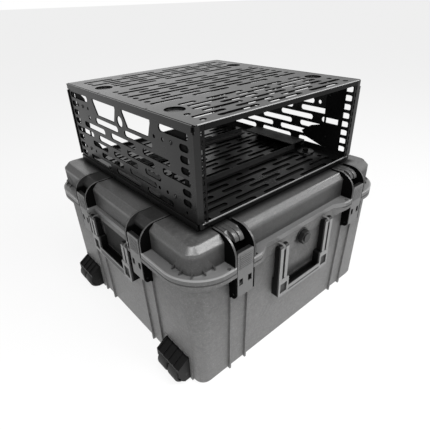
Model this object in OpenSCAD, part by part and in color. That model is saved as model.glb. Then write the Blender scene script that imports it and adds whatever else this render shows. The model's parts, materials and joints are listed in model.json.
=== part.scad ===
// Wheeled transport case with a perforated shock-mount rack frame standing on its lid.
// Millimetres, +Z up. The front (rack opening, big handle, valve) faces -Y, the wheels face -X.
// The origin is on the floor, under the middle of the case.

/* [Case base] */
// Width of the base at the floor, along X
base_w = 602; // [584:1:634]
// Depth of the base at the floor, along Y
base_d = 584; // [566:1:614]
// Height of the joint between base and lid
joint_z = 297; // [285:1:320]
// How far each wall leans outwards between the floor and the joint
lean = 7; // [5:0.5:9]
// Wall thickness of the mouldings
wall = 4; // [3:0.5:5]
// Corner radius of the base at the floor
base_r = 28; // [24:1:40]
// Corner radius of the base at the joint
base_top_r = 48; // [44:1:56]
// Rounding of the bottom edge
bottom_r = 10; // [6:0.5:12]
// Width of the sealing ledge inside the rim
ledge_w = 12; // [10:0.5:14]
// Height of the sealing ledge
ledge_h = 14; // [10:1:20]
// Height that the upright ribs stand proud of the wall
rib_h = 4.5; // [3:0.5:6]
// Thickness of the upright ribs
rib_t = 4; // [3:0.5:6]

/* [Rim and lid] */
// Height of the lid's top above the floor
lid_top = 368; // [364:1:380]
// Overhang of the rim past the base wall
rim_over = 18; // [16:0.5:20]
// Corner radius of the rim
rim_r = 88; // [80:1:96]
// Gap between the two rims at the seal
joint_gap = 0.5; // [0.4:0.1:1]
// Thickness of the lid's flange
lid_flange_t = 12; // [10:0.5:14]
// Thickness of the base's flange
base_flange_t = 10; // [8:0.5:12]
// Height of the slope under the base's flange
flange_slope = 15; // [8:1:20]
// Width of the flange outside the lid's front wall
lid_front_inset = 29; // [27:1:33]
// Width of the flange outside the lid's side and back walls
lid_inset = 23; // [20:1:25]
// Corner radius of the lid's wall
lid_r = 28; // [25:1:34]
// Radius of the lid's shoulder
shoulder_r = 18; // [12:1:20]
// Thickness of the flange that is left between the latches
rim_left = 1.5; // [1:0.25:2]
// Sloped length at each end of the front recess
recess_slope = 34; // [20:1:40]
// Width of the seal's groove
seal_w = 6; // [5:0.5:7]
// Depth of the seal's groove
seal_depth = 4; // [3:0.5:5]
// Ribs beside each corner of the lid, on each of its two walls
corner_ribs = 2; // [1:1:3]
// Spacing of the ribs beside a corner
corner_rib_pitch = 23; // [18:1:28]
// Length of the ribs over the flange
corner_rib_run = 8; // [6:0.5:9]

/* [Latches] */
// Distance of the front latches from the middle
latch_front_x = 195; // [185:1:205]
// Gap between a side handle and the guard rails beside it
latch_handle_gap = 3.25; // [3.25:0.25:8]
// Width of a latch
latch_w = 42; // [38:1:44]
// Depth of a latch
latch_t = 10; // [9:0.5:11]
// Wall of a latch
latch_wall = 3.5; // [3:0.25:4]
// Height of the latch pivot above the floor
latch_pin_z = 241; // [238:1:248]
// Height of the top edge of a latch
latch_top = 339; // [334:1:342]
// Diameter of the latch pins
latch_pin_d = 5; // [4:0.5:6]
// Thickness of the cheeks that hold a latch pin
cheek_t = 4; // [3:0.5:5]
// Gap between a latch and its cheeks
cheek_gap = 1; // [0.6:0.1:1.5]
// Gap between a front latch and the guard rails on the lid
front_rail_gap = 1.5; // [1.5:0.25:3]
// Gap between a side latch and the guard rails on the lid, wide enough for the swinging lid
side_rail_gap = 4.75; // [4.75:0.25:6]
// Thickness of a guard rail
rail_t = 5; // [4:0.5:6]
// Radius of a front guard rail over the lid's shoulder
front_rail_r = 42; // [38:1:46]
// Height that a front guard rail stands proud of the lid
front_rail_rise = 4; // [2:0.5:6]
// Reach of the front guard rails over the lid, short of the rack frame
front_rail_reach = 64; // [56:1:66]
// Radius of a side guard rail over the lid's shoulder
side_rail_r = 40; // [34:1:44]
// Height that a side guard rail stands proud of the lid
side_rail_rise = 1.2; // [0.6:0.2:2]
// Reach of the side guard rails over the lid
side_rail_reach = 86; // [76:1:90]
// Height of the lower end of the straps between the front guard rails
strap_low = 352; // [348:1:356]
// Grip ridges on a latch
latch_ridges = 8; // [4:1:9]
// Diameter of the padlock holes
padlock_d = 8; // [6:0.5:10]

/* [Handles] */
// Half of a handle's width
handle_half = 92; // [86:1:94]
// Width of a handle's arm
arm_w = 26; // [24:1:28]
// Width of the groove along an arm
groove_w = 7; // [6:0.5:9]
// Depth of an arm
arm_t = 16; // [14:0.5:18]
// Width of a handle's foot
foot_w = 33; // [30:1:36]
// Height of a handle's foot
foot_h = 48; // [40:1:52]
// Depth of a handle's foot and grip
grip_t = 21; // [18:0.5:22]
// Height of the grip bar
grip_h = 18; // [14:1:24]
// Height of the front handle's lower edge
front_grip_z = 155; // [145:1:170]
// Height of the side handles' lower edge
side_grip_z = 196; // [186:1:206]
// Height of the handle pivots
handle_pin_z = 286; // [284:1:288]
// Diameter of the handle pins
handle_pin_d = 6; // [5:0.5:7]

/* [Wheels] */
// Distance of the wheel units from the front and back of the base
wheel_in = 77; // [70:1:88]
// Wheel radius
wheel_r = 27; // [24:0.5:28]
// Height of the axle
axle_z = 29; // [28.5:0.5:32]
// Axle diameter
axle_d = 8; // [6:0.5:10]
// Width of a wheel unit
wheel_unit_w = 84; // [76:1:88]
// Thickness of the housing's cheeks and web
housing_t = 5.5; // [4:0.5:7]

/* [Valve and hinges] */
// Height of the purge valve
valve_z = 275; // [268:1:278]
// Radius of the purge valve's knob
valve_r = 17; // [13:0.5:18]
// Distance of the hinges from the middle
hinge_x = 165; // [140:1:200]
// Length of a hinge
hinge_l = 90; // [70:2:110]
// Hinge knuckle radius
hinge_r = 7; // [6:0.5:8]
// Hinge pin diameter
hinge_pin_d = 6; // [5:0.5:7]

/* [Rack frame] */
// Outer width of the frame
rack_w = 500; // [498:1:510]
// Outer depth of the frame
rack_d = 517; // [505:1:525]
// Outer height of the frame
rack_h = 198; // [196:1:204]
// Place of the frame behind the middle of the case
rack_back = 10; // [0:1:12]
// Height that the rubber mounts lift the frame off the lid
rack_lift = 4; // [3:0.5:8]
// Sheet thickness
sheet = 3; // [2:0.25:3]
// Height of the folded edges on the sides
side_lip = 12; // [8:0.5:14]
// Height of the folded edges on the front and back
front_lip = 11; // [8:0.5:12]
// Width of a rail's front face
rail_face = 24; // [22.5:0.5:25]
// Depth of a rail's side leg
rail_leg = 12.5; // [12:0.5:14]
// Open gap between a side panel's end and the rail's face.
panel_gap = 2.5; // [0:0.5:3]
// Open notch at the frame's upright corners, beside the folded edges.
corner_notch = 4; // [2:0.5:5]
// Horizontal spacing of the mounting holes
eia_w = 465.1; // [464:0.1:466]
// Rack units held
units = 4; // [3:1:4]
// Width of a mounting hole
eia_hole_w = 5; // [4:0.5:9.5]
// Height of a mounting hole
eia_hole_h = 9.5; // [7:0.5:9.5]
// Length of the long slots
slot_l = 109; // [90:1:112]
// Height of the slots
slot_h = 14; // [8:0.5:15]
// Spacing of the slots along a row
slot_pitch = 137; // [134:1:140]
// Spacing of the rows on the side panels
side_row = 21.4; // [20:0.1:22]
// Length of the slots in the top and bottom panels
deck_slot_l = 101; // [90:1:104]
// Spacing of the slots along a row in the top and bottom panels
deck_pitch = 128; // [124:1:132]
// Spacing of the rows in the top and bottom panels
deck_row = 21.8; // [20:0.1:22]
// Reach of the slots from the middle of the top and bottom panels
deck_reach = 219; // [200:1:222]
// Radius of the pressed dishes
dish_r = 21; // [20.5:0.5:24]
// Depth of the pressed dishes
dish_depth = 4; // [3.5:0.5:6]
// Half spacing of the dishes across the frame
dish_x = 208; // [200:1:212]
// Half spacing of the dishes along the frame
dish_y = 142; // [138:1:146]
// Diameter of the bolt and its hole in a lower dish
dish_bolt_d = 8; // [6:0.5:10]
// Radius of a rubber mount
mount_r = 20; // [16:0.5:22]
// Place of the rail brackets behind the rail's face
bracket_in = 30; // [24:1:34]
// Width of the rail brackets
bracket_w = 52; // [50:1:56]
// Reach of the brackets' lower wing from the rail's face.
bracket_foot = 150; // [146:1:156]
// Cut-off upper corner of the brackets, along and down.
bracket_cut_l = 44; // [30:1:46]
bracket_cut_h = 16; // [10:1:20]
// Place of the bracket screws from the middle of the side panels
bracket_screw_u = 186.5; // [183:0.5:190]
// Width of the equipment ledges
equip_ledge_w = 55; // [40:1:60]
// Length of the equipment ledges
equip_ledge_l = 180; // [150:1:186]
// Height of the equipment ledges above the floor panel
equip_ledge_z = 17; // [16:0.5:18]
// How far the ledges sit in front of the frame's middle.
equip_ledge_front = 30; // [0:1:32]
// How far the pattern of the top and bottom panels sits in front of their middle.
deck_front = 10; // [0:1:12]
// How far the right panel's slots sit nearer the front than the left panel's.
right_slots_front = 16; // [0:1:18]
// Plain edge of a side panel outside its end holes, at the holes' two ends.
edge_front = 13; // [11:0.5:16]
edge_rear = 7; // [6:0.5:9]
// Length of the end holes at the panel's two ends.
end_hole_front = 27; // [20:0.5:29]
end_hole_rear = 30; // [24:0.5:31]
// Seam scored along the top panel's folded sides: its width and depth.
seam_w = 1.8; // [1:0.1:2.4]
seam_depth = 1.6; // [0.8:0.1:2]

/* [Hidden] */
$fn = 48;
HULL_FN = 32;
RUN = 0.05;
eia_u = 44.45;
rivet_d = 4;
bracket_t = 2.5;
bracket_screw_d = 5;
FACES = ["front", "left", "right"];
CORNER_X = [1, -1, -1, 1];
CORNER_Y = [1, 1, -1, -1];
FACE_TURN = [["front", 0], ["left", -90], ["right", 90], ["back", 180]];
plastic = [0.30, 0.30, 0.31];
black = [0.07, 0.07, 0.075];
rubber = [0.05, 0.05, 0.05];
steel = [0.55, 0.56, 0.58];
coat = [0.12, 0.12, 0.125];

latch_side_y = handle_half + latch_handle_gap + latch_w / 2 + side_rail_gap + rail_t;
wheel_y = base_d / 2 - wheel_in;
rim_w = base_w + 2 * lean + 2 * rim_over;
rim_d = base_d + 2 * lean + 2 * rim_over;
lid_w = rim_w - 2 * lid_inset;
lid_d = rim_d - lid_front_inset - lid_inset;
lid_back = (lid_front_inset - lid_inset) / 2;
base_rim_z = joint_z - joint_gap / 2;
lid_rim_z = joint_z + joint_gap / 2;
flange_top = lid_rim_z + lid_flange_t;
flange_low = base_rim_z - base_flange_t;
mouth_w = base_w + 2 * lean - 2 * ledge_w;
mouth_d = base_d + 2 * lean - 2 * ledge_w;
mouth_r = base_top_r - ledge_w;
recess_y = rim_over - rim_left;
cheek_in = latch_w / 2 + cheek_gap;
cheek_mid = cheek_in + cheek_t / 2;
latch_r = latch_t * 0.7;
latch_low = latch_pin_z - latch_r;
catch_y = latch_t + 0.7;
pocket_y = latch_t + 3;
arm_mid = handle_half - arm_w / 2;
lug_t = groove_w - 1;
arm_r = arm_t / 2;
handle_pin_y = rim_over - 12;
grip_y = handle_pin_y - arm_r - 1;
seat_y = rim_over + 0.6 * lean;
axle_y = seat_y - 10;
well_y = axle_y + wheel_r + 3;
well_top = axle_z + wheel_r + 6;
hood_top = well_top + 10;
hood_front = seat_y - wheel_r - 3.5;
hood_low = hood_top - 18;
wheel_w = (wheel_unit_w - 3 * housing_t) / 2 - 1;
wheel_mid = housing_t / 2 + 0.5 + wheel_w / 2;
valve_seat_y = rim_over - 2;
hinge_y = -5;
knuckle = (hinge_l - 1) / 4;
rack_z = lid_top + rack_lift;
deck_top = rack_z + rack_h;
panel_x = rack_w / 2 - sheet;
panel_l = rack_d - 2 * sheet - 2 * panel_gap;
panel_h = rack_h - 2 * sheet;
lip_l = panel_l;
rail_gap_w = rack_w - 2 * rail_face - 1;
band_y = 4.5 * deck_row;
rivet_u = rack_d / 2 - rail_leg + 3.5;

function lean_at(z) = lean * (1 - z / joint_z);
// Place of the wall's outer face at height z, measured inwards from the rim's outer face.
function wall_y(z) = rim_over + lean_at(z);
function face_half(face) = (face == "front" || face == "back") ? rim_d / 2 : rim_w / 2;
function face_turn(face) = FACE_TURN[search([face], FACE_TURN)[0]][1];
function latch_x(face) = face == "front" ? latch_front_x : latch_side_y;
function rail_in(face) = latch_w / 2 + (face == "front" ? front_rail_gap : side_rail_gap);
function rail_out(face) = rail_in(face) + rail_t;
function inset(face) = face == "front" ? lid_front_inset : lid_inset;
function rail_r(face) = face == "front" ? front_rail_r : side_rail_r;
function rail_rise(face) = face == "front" ? front_rail_rise : side_rail_rise;
function rail_reach(face) = face == "front" ? front_rail_reach : side_rail_reach;
function grip_z(face) = face == "front" ? front_grip_z : side_grip_z;

// Shared outlines and placing

module rounded(w, d, r) {
    square([w - 2 * r, d], center = true);
    square([w, d - 2 * r], center = true);
    for (x = [-1, 1], y = [-1, 1])
        translate([x * (w / 2 - r), y * (d / 2 - r)])
            circle(r);
}

// A thin rounded slice at height z, for the lofted shells.
module slice(w, d, r, z) {
    translate([0, 0, z])
        linear_extrude(0.01)
            rounded(w, d, r, $fn = HULL_FN);
}

// Puts children on a face of the case: x along the face, y inwards from the rim, z up.
module on_face(face, x = 0) {
    rotate([0, 0, face_turn(face)])
        translate([x, -face_half(face), 0])
            children();
}

// Extrudes a side view drawn in (y, z) along the face, centred on x.
module side_view(t) {
    rotate([90, 0, 90])
        linear_extrude(t, center = true)
            children();
}

module along_x(d, l) {
    rotate([0, 90, 0])
        cylinder(d = d, h = l, center = true);
}

module box_between(low, high) {
    translate(low)
        cube(high - low);
}

// Rim

module recess_outline(face) {
    half = latch_x(face) - rail_out(face) - (face == "front" ? 16 : 0);
    slope = face == "front" ? recess_slope : 0.5;
    on_face_2d(face)
        polygon([[-half, 0], [-half, -2], [half, -2], [half, 0],
                 [half - slope, recess_y], [slope - half, recess_y]]);
}

module on_face_2d(face) {
    rotate(face_turn(face))
        translate([0, -face_half(face)])
            children();
}

module rim_outline() {
    difference() {
        rounded(rim_w, rim_d, rim_r);
        for (face = FACES)
            recess_outline(face);
    }
}

module latch_places() {
    for (face = FACES, s = [-1, 1])
        on_face(face, s * latch_x(face))
            children();
}

module padlock_holes(z0, z1) {
    for (s = [-1, 1], out = [-1, 1])
        on_face("front", s * (latch_front_x + out * (rail_out("front") + 8)))
            translate([0, 8, z0])
                cylinder(d = padlock_d, h = z1 - z0);
}

// Case base

module base_outer() {
    hull() {
        slice(base_w - 2 * bottom_r, base_d - 2 * bottom_r, base_r - bottom_r, 0);
        slice(base_w - 0.58 * bottom_r, base_d - 0.58 * bottom_r, base_r - 0.29 * bottom_r, 0.29 * bottom_r);
        slice(base_w, base_d, base_r, bottom_r);
        slice(base_w + 2 * lean, base_d + 2 * lean, base_top_r, base_rim_z - 0.01);
    }
}

module base_cavity() {
    hull() {
        slice(base_w - 2 * wall - bottom_r, base_d - 2 * wall - bottom_r, base_r - wall - bottom_r / 2, wall);
        slice(base_w - 2 * wall, base_d - 2 * wall, base_r - wall, wall + bottom_r);
        slice(base_w + 2 * lean - 2 * wall, base_d + 2 * lean - 2 * wall, base_top_r - wall,
              base_rim_z - ledge_h);
    }
}

module base_flange() {
    translate([0, 0, flange_low])
        linear_extrude(base_flange_t)
            rim_outline();
    intersection() {
        hull() {
            slice(rim_w, rim_d, rim_r, flange_low);
            slice(base_w + 2 * lean, base_d + 2 * lean, base_top_r, flange_low - flange_slope);
        }
        translate([0, 0, flange_low - flange_slope])
            linear_extrude(flange_slope + 1)
                rim_outline();
    }
}

// Upright cheeks that hold a latch pin, rounded at their lower outer corner.
module latch_cheeks() {
    low = latch_low - 4;
    depth = rim_over + 5;
    r = 8;
    for (s = [-1, 1])
        translate([s * cheek_mid, 0, 0])
            side_view(cheek_t)
                translate([1, low]) {
                    translate([0, r])
                        square([depth, flange_low + 1 - low - r]);
                    translate([r, 0])
                        square([depth - r, r + 1]);
                    translate([r, r])
                        circle(r);
                }
}

module wall_rib(z0, z1) {
    side_view(rib_t)
        polygon([[wall_y(z0) - rib_h, z0], [wall_y(z1) - rib_h, z1],
                 [wall_y(z1) + 2, z1], [wall_y(z0) + 2, z0]]);
}

module handle_lugs() {
    for (s = [-1, 1])
        translate([s * arm_mid, 0, 0])
            side_view(lug_t)
                translate([handle_pin_y, handle_pin_z]) {
                    circle(arm_r - 0.5);
                    translate([0, 0.5 - arm_r])
                        square([rim_over + 6 - handle_pin_y, 2 * arm_r - 1]);
                }
}

// The moulded ledge under a handle's grip.
module grip_rest(z) {
    half = handle_half - foot_w / 2;
    box_between([-half, wall_y(z) - 4, z - 6], [half, wall_y(z) + 3, z - 3]);
}

module wheel_places(y = wheel_y) {
    for (s = [-1, 1])
        on_face("left", s * y)
            children();
}

module wheel_well_block() {
    half = wheel_unit_w / 2 + wall + 2;
    box_between([-half, seat_y, 4], [half, well_y + wall, well_top + wall]);
    box_between([-half, seat_y, 4], [half, seat_y + wall + 6, hood_top + 6]);
}

module wheel_well() {
    half = wheel_unit_w / 2 - housing_t - 0.5;
    box_between([-half, -10, -1], [half, well_y, well_top]);
}

module base_hinges() {
    for (s = [-1, 1], e = [-1, 1])
        on_face("back", s * hinge_x)
            translate([e * (hinge_l / 2 - knuckle / 2), hinge_y, joint_z]) {
                along_x(2 * hinge_r, knuckle);
                box_between([-knuckle / 2, 0, -hinge_r], [knuckle / 2, 12, -joint_gap]);
            }
}

module base_solid() {
    difference() {
        union() {
            base_outer();
            base_flange();
            latch_places() {
                latch_cheeks();
                for (s = [-1, 1])
                    translate([s * cheek_mid, 0, 0])
                        wall_rib(3, latch_low - 3);
            }
            for (face = FACES)
                on_face(face) {
                    handle_lugs();
                    grip_rest(grip_z(face));
                }
            wheel_places()
                wheel_well_block();
            base_hinges();
            on_face("front")
                translate([0, valve_seat_y, valve_z])
                    rotate([-90, 0, 0])
                        cylinder(r = min(valve_r + 4, base_rim_z - valve_z - 0.5), h = 6);
        }
        difference() {
            base_cavity();
            wheel_places()
                wheel_well_block();
        }
        translate([0, 0, base_rim_z - ledge_h - 1])
            linear_extrude(ledge_h + 2)
                rounded(mouth_w, mouth_d, mouth_r);
    }
}

module base_shell() {
    color(plastic)
        difference() {
            base_solid();
            seal_ring(seal_w, base_rim_z - seal_depth, base_rim_z + 1);
            wheel_places()
                wheel_well();
            latch_places() {
                box_between([-cheek_in, -1, latch_low - 8], [cheek_in, pocket_y, base_rim_z + 1]);
                translate([0, latch_r, latch_pin_z])
                    along_x(latch_pin_d, 2 * (cheek_in + cheek_t) + 1);
            }
            for (face = FACES, s = [-1, 1])
                on_face(face, s * arm_mid)
                    translate([0, handle_pin_y, handle_pin_z])
                        along_x(handle_pin_d, arm_w);
            for (s = [-1, 1])
                on_face("back", s * hinge_x) {
                    translate([0, hinge_y, joint_z])
                        along_x(hinge_pin_d, hinge_l + 2);
                    hinge_notch(-joint_gap - 20, 0.5);
                }
            on_face("front")
                translate([0, 0, valve_z]) {
                    rotate([-90, 0, 0])
                        cylinder(r = valve_r * 0.6, h = rim_over + 10);
                    box_between([18, rim_over - 1, 13], [22, rim_over + 2, 18]);
                }
            padlock_holes(flange_low - flange_slope, base_rim_z + 1);
        }
}

// Clears the middle knuckle out of the base's rim, or the outer ones out of the lid's.
module hinge_notch(z0, gap) {
    box_between([-hinge_l / 2 + knuckle - gap, hinge_y - hinge_r - 1, joint_z + z0],
                [hinge_l / 2 - knuckle + gap, hinge_y + hinge_r + 1, joint_z + 40]);
}

// Seal between the rims

module seal_ring(w, z0, z1) {
    inset = (ledge_w - seal_w) / 2 + (seal_w - w) / 2;
    out = ledge_w - inset;
    translate([0, 0, z0])
        linear_extrude(z1 - z0)
            difference() {
                rounded(mouth_w + 2 * out, mouth_d + 2 * out, mouth_r + out);
                rounded(mouth_w + 2 * inset, mouth_d + 2 * inset, mouth_r + inset);
            }
}

module seal() {
    color(rubber)
        seal_ring(seal_w - 0.4, base_rim_z - seal_depth, base_rim_z + joint_gap * 0.4);
}

// Lid

// Half of the lid's section, from its wall's corner centre outwards.
module shoulder_view(reach, low, top, r) {
    translate([0, low])
        square([reach, top - r - low]);
    translate([0, low])
        square([reach - r, top - low]);
    translate([reach - r, top - r])
        circle(r);
}

// The lid's body with rolled shoulders: a middle block, four edges and four turned corners.
module lid_dome(inset, top, r, low) {
    w = lid_w - 2 * lid_r;
    d = lid_d - 2 * lid_r;
    reach = lid_r - inset;
    translate([0, lid_back, 0]) {
        translate([-w / 2, -d / 2, low])
            cube([w, d, top - low]);
        for (s = [-1, 1]) {
            translate([0, s * d / 2, 0])
                side_view(w)
                    mirror([s < 0 ? 1 : 0, 0])
                        shoulder_view(reach, low, top, r);
            translate([s * w / 2, 0, 0])
                rotate([0, 0, 90])
                    side_view(d)
                        mirror([s > 0 ? 1 : 0, 0])
                            shoulder_view(reach, low, top, r);
        }
        for (q = [0:3])
            translate([CORNER_X[q] * w / 2, CORNER_Y[q] * d / 2, 0])
                rotate([0, 0, 90 * q])
                    rotate_extrude(angle = 90)
                        shoulder_view(reach, low, top, r);
    }
}

// Side view of a guard rail: upright at the flange, then a quarter round over the shoulder.
module rail_view(out, r, top, reach) {
    translate([out, lid_rim_z]) {
        translate([r, 0])
            square([reach - r - out, top - lid_rim_z]);
        square([reach - out, top - lid_rim_z - r]);
        translate([r, top - lid_rim_z - r])
            intersection() {
                circle(r);
                translate([-r, 0])
                    square(r);
            }
    }
}

module lid_rails(face) {
    half = rail_in(face);
    for (s = [-1, 1])
        translate([s * (half + rail_t / 2), 0, 0])
            side_view(rail_t)
                rail_view(0, rail_r(face), lid_top + rail_rise(face), rail_reach(face));
    box_between([-half - 1, catch_y, flange_top - 6], [half + 1, inset(face) + 2, flange_top + 4]);
}

// Stepped strap between the front guard rails.
module lid_straps() {
    for (s = [-1, 1], step = [0, 1])
        on_face("front", s * latch_front_x)
            translate([step * 11 - 5, 0, 0])
                side_view(10)
                    intersection() {
                        rail_view(latch_t + 8 - 2 * step, shoulder_r + 2, lid_top + 1.2, front_rail_reach);
                        translate([0, strap_low])
                            square(front_rail_reach);
                    }
}

// Ribs between the lid's wall and its flange: one across each corner, the others square to the walls.
module lid_corner_ribs() {
    run = corner_rib_run + 3;
    for (q = [0:3], i = [-corner_ribs:corner_ribs]) {
        aside = corner_rib_pitch * max(abs(i) - 1, 0);
        x = CORNER_X[q] * (lid_w / 2 - lid_r);
        y = lid_back + CORNER_Y[q] * (lid_d / 2 - lid_r);
        translate([x, y, flange_top])
            rotate([0, 0, 90 * q + 45 + 45 * sign(i)])
                translate([lid_r - 3, sign(i) * aside, 0])
                    rotate([90, 0, 0])
                        linear_extrude(3, center = true)
                            polygon([[0, -2], [run, -2], [run, 2], [0, 14]]);
    }
}

module lid_hinges() {
    mid = hinge_l - 2 * knuckle - 1;
    for (s = [-1, 1])
        on_face("back", s * hinge_x)
            translate([0, hinge_y, joint_z]) {
                along_x(2 * hinge_r, mid);
                box_between([-mid / 2, 0, joint_gap], [mid / 2, 14, hinge_r]);
            }
}

module lid_shell() {
    color(plastic)
        difference() {
            union() {
                lid_dome(0, lid_top, shoulder_r, lid_rim_z + 1);
                difference() {
                    translate([0, 0, lid_rim_z])
                        linear_extrude(lid_flange_t)
                            rim_outline();
                    for (face = FACES, s = [-1, 1])
                        on_face(face, s * latch_x(face))
                            box_between([-rail_in(face), -1, lid_rim_z - 1],
                                        [rail_in(face), pocket_y, flange_top + 1]);
                    padlock_holes(lid_rim_z - 1, flange_top + 1);
                    for (s = [-1, 1], e = [-1, 1])
                        on_face("back", s * hinge_x + e * (hinge_l / 2 - knuckle / 2))
                            box_between([-knuckle / 2 - 1, -1, lid_rim_z - 1],
                                        [knuckle / 2 + 1, hinge_y + hinge_r + 1.5, flange_top + 1]);
                }
                for (face = FACES, s = [-1, 1])
                    on_face(face, s * latch_x(face))
                        lid_rails(face);
                lid_straps();
                lid_corner_ribs();
                lid_hinges();
            }
            lid_dome(wall, lid_top - wall, shoulder_r - wall, flange_top - wall);
            intersection() {
                lid_dome(wall, lid_top - wall, shoulder_r - wall, lid_rim_z - 1);
                translate([0, 0, lid_rim_z - 2])
                    linear_extrude(lid_flange_t)
                        rounded(mouth_w, mouth_d, mouth_r);
            }
            for (s = [-1, 1])
                on_face("back", s * hinge_x)
                    translate([0, hinge_y, joint_z])
                        along_x(hinge_pin_d + 2 * RUN, hinge_l);
        }
}

module hinge_pins() {
    color(steel)
        for (s = [-1, 1])
            on_face("back", s * hinge_x)
                translate([0, hinge_y, joint_z])
                    along_x(hinge_pin_d, hinge_l);
}

// Latches

module latch() {
    color(black)
        difference() {
            union() {
                translate([0, latch_t, (latch_top + latch_low) / 2])
                    rotate([90, 0, 0])
                        linear_extrude(latch_t)
                            rounded(latch_w, latch_top - latch_low, 4);
                translate([0, latch_r, latch_pin_z])
                    along_x(2 * latch_r, latch_w);
                for (i = [0:latch_ridges - 1])
                    box_between([-latch_w * 0.36, -0.8, latch_top - 8 - 4.4 * i],
                                [latch_w * 0.36, 1, latch_top - 6 - 4.4 * i]);
            }
            difference() {
                box_between([-latch_w / 2 + latch_wall, latch_wall, latch_pin_z],
                            [latch_w / 2 - latch_wall, latch_t + 1, latch_top - latch_wall]);
                translate([0, latch_r, latch_pin_z])
                    along_x(2 * latch_r, latch_w);
            }
            for (s = [-1, 1])
                box_between([s * 12 - 5, -1, latch_pin_z + 20],
                            [s * 12 + 5, latch_wall + 1, latch_pin_z + 36]);
            translate([0, latch_r, latch_pin_z])
                along_x(latch_pin_d + 2 * RUN, latch_w + 1);
        }
}

module latch_pins() {
    color(steel)
        latch_places()
            translate([0, latch_r, latch_pin_z])
                along_x(latch_pin_d, 2 * (cheek_in + cheek_t));
}

// Folding handles

module handle_arm_view(z0) {
    translate([handle_pin_y, handle_pin_z])
        circle(arm_r);
    translate([handle_pin_y - arm_r, z0])
        square([arm_t, handle_pin_z - z0]);
}

module handle(z0) {
    bar_w = (arm_w - groove_w) / 2;
    color(black)
        difference() {
            union() {
                for (s = [-1, 1]) {
                    for (e = [-1, 1])
                        translate([s * arm_mid + e * (groove_w + bar_w) / 2, 0, 0])
                            side_view(bar_w)
                                handle_arm_view(z0 + foot_h - 4);
                    translate([s * (handle_half - foot_w / 2), grip_y, z0 + foot_h / 2])
                        rotate([-90, 0, 0])
                            linear_extrude(grip_t)
                                rounded(foot_w, foot_h, 3);
                    translate([s * arm_mid, 0, 0])
                        side_view(groove_w + 1)
                            translate([grip_y + grip_t - 6, z0 + foot_h - 4])
                                square([4, handle_pin_z - z0 - foot_h - 2 * arm_r]);
                }
                box_between([-handle_half + foot_w - 4, grip_y, z0],
                            [handle_half - foot_w + 4, grip_y + grip_t, z0 + grip_h]);
            }
            for (s = [-1, 1]) {
                box_between([s * (handle_half - foot_w / 2) - foot_w / 2 + 5, grip_y - 1, z0 + 8],
                            [s * (handle_half - foot_w / 2) + foot_w / 2 - 5, grip_y + 4, z0 + foot_h - 12]);
                translate([s * arm_mid, handle_pin_y, handle_pin_z])
                    along_x(handle_pin_d + 2 * RUN, arm_w + 1);
            }
            box_between([-handle_half + foot_w, grip_y + 3, z0 + 4],
                        [handle_half - foot_w, grip_y + grip_t - 3, z0 + grip_h + 1]);
        }
}

module handle_pins() {
    color(steel)
        for (face = FACES, s = [-1, 1])
            on_face(face, s * arm_mid)
                translate([0, handle_pin_y, handle_pin_z])
                    along_x(handle_pin_d, arm_w - 2);
}

// Wheel units

module housing_view() {
    polygon([[seat_y, axle_z - 20], [seat_y, hood_top], [seat_y - 4, hood_top], [hood_front, hood_low],
             [hood_front, axle_z + 6], [hood_front + 8, axle_z - 14], [hood_front + 14, axle_z - 20]]);
}

module hood_view(t) {
    polygon([[seat_y, hood_top + t], [seat_y - 4, hood_top + t], [hood_front, hood_low + t],
             [hood_front, hood_low - 5], [seat_y - 4, hood_top - 5], [seat_y, hood_top - 5]]);
}

module wheel_housing() {
    half = wheel_unit_w / 2;
    color(black)
        difference() {
            union() {
                for (s = [-1, 0, 1])
                    translate([s * (half - housing_t / 2), 0, 0])
                        side_view(housing_t)
                            housing_view();
                side_view(wheel_unit_w)
                    hood_view(0);
                for (i = [-2:2])
                    translate([i * (half - 3) / 2, 0, 0])
                        side_view(6)
                            hood_view(2.2);
            }
            translate([0, axle_y, axle_z])
                along_x(axle_d, wheel_unit_w + 1);
        }
}

module wheel_axles() {
    color(steel)
        wheel_places()
            translate([0, axle_y, axle_z])
                along_x(axle_d, wheel_unit_w);
}

module wheel(side) {
    half = wheel_w / 2;
    color(rubber)
        translate([side * wheel_mid, axle_y, axle_z])
            rotate([0, 90, 0])
                rotate_extrude()
                    polygon([[axle_d / 2 + RUN, -half], [wheel_r * 0.55, -half], [wheel_r * 0.6, 3 - half],
                             [wheel_r * 0.74, 3 - half], [wheel_r * 0.78, -half], [wheel_r - 3, -half],
                             [wheel_r, 3 - half], [wheel_r, half - 3], [wheel_r - 3, half],
                             [wheel_r * 0.78, half], [wheel_r * 0.74, half - 3], [wheel_r * 0.6, half - 3],
                             [wheel_r * 0.55, half], [axle_d / 2 + RUN, half]]);
}

// Purge valve

module valve_seat() {
    color(black)
        on_face("front")
            translate([0, valve_seat_y, valve_z])
                rotate([90, 0, 0]) {
                    translate([0, 0, -wall - 4])
                        cylinder(r = valve_r * 0.6, h = wall + 4);
                    cylinder(r = valve_r + 3, h = 3);
                    cylinder(r = valve_r * 0.35, h = 10);
                }
}

module valve_knob() {
    color(black)
        on_face("front")
            translate([0, valve_seat_y - 3.3, valve_z])
                rotate([90, 0, 0])
                    difference() {
                        union() {
                            cylinder(r = valve_r, h = 10, $fn = 6);
                            cylinder(r = valve_r * 0.62, h = 13);
                        }
                        translate([0, 0, -1])
                            cylinder(r = valve_r * 0.35 + RUN, h = 8.2);
                    }
}

// Rack frame: slots and panels

module slot(x0, x1, y, h) {
    r = h / 2;
    translate([x0 + r, y - r])
        square([max(x1 - x0 - h, 0.01), h]);
    for (x = [x0 + r, max(x1 - r, x0 + r)])
        translate([x, y])
            circle(r, $fn = 24);
}

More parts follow.
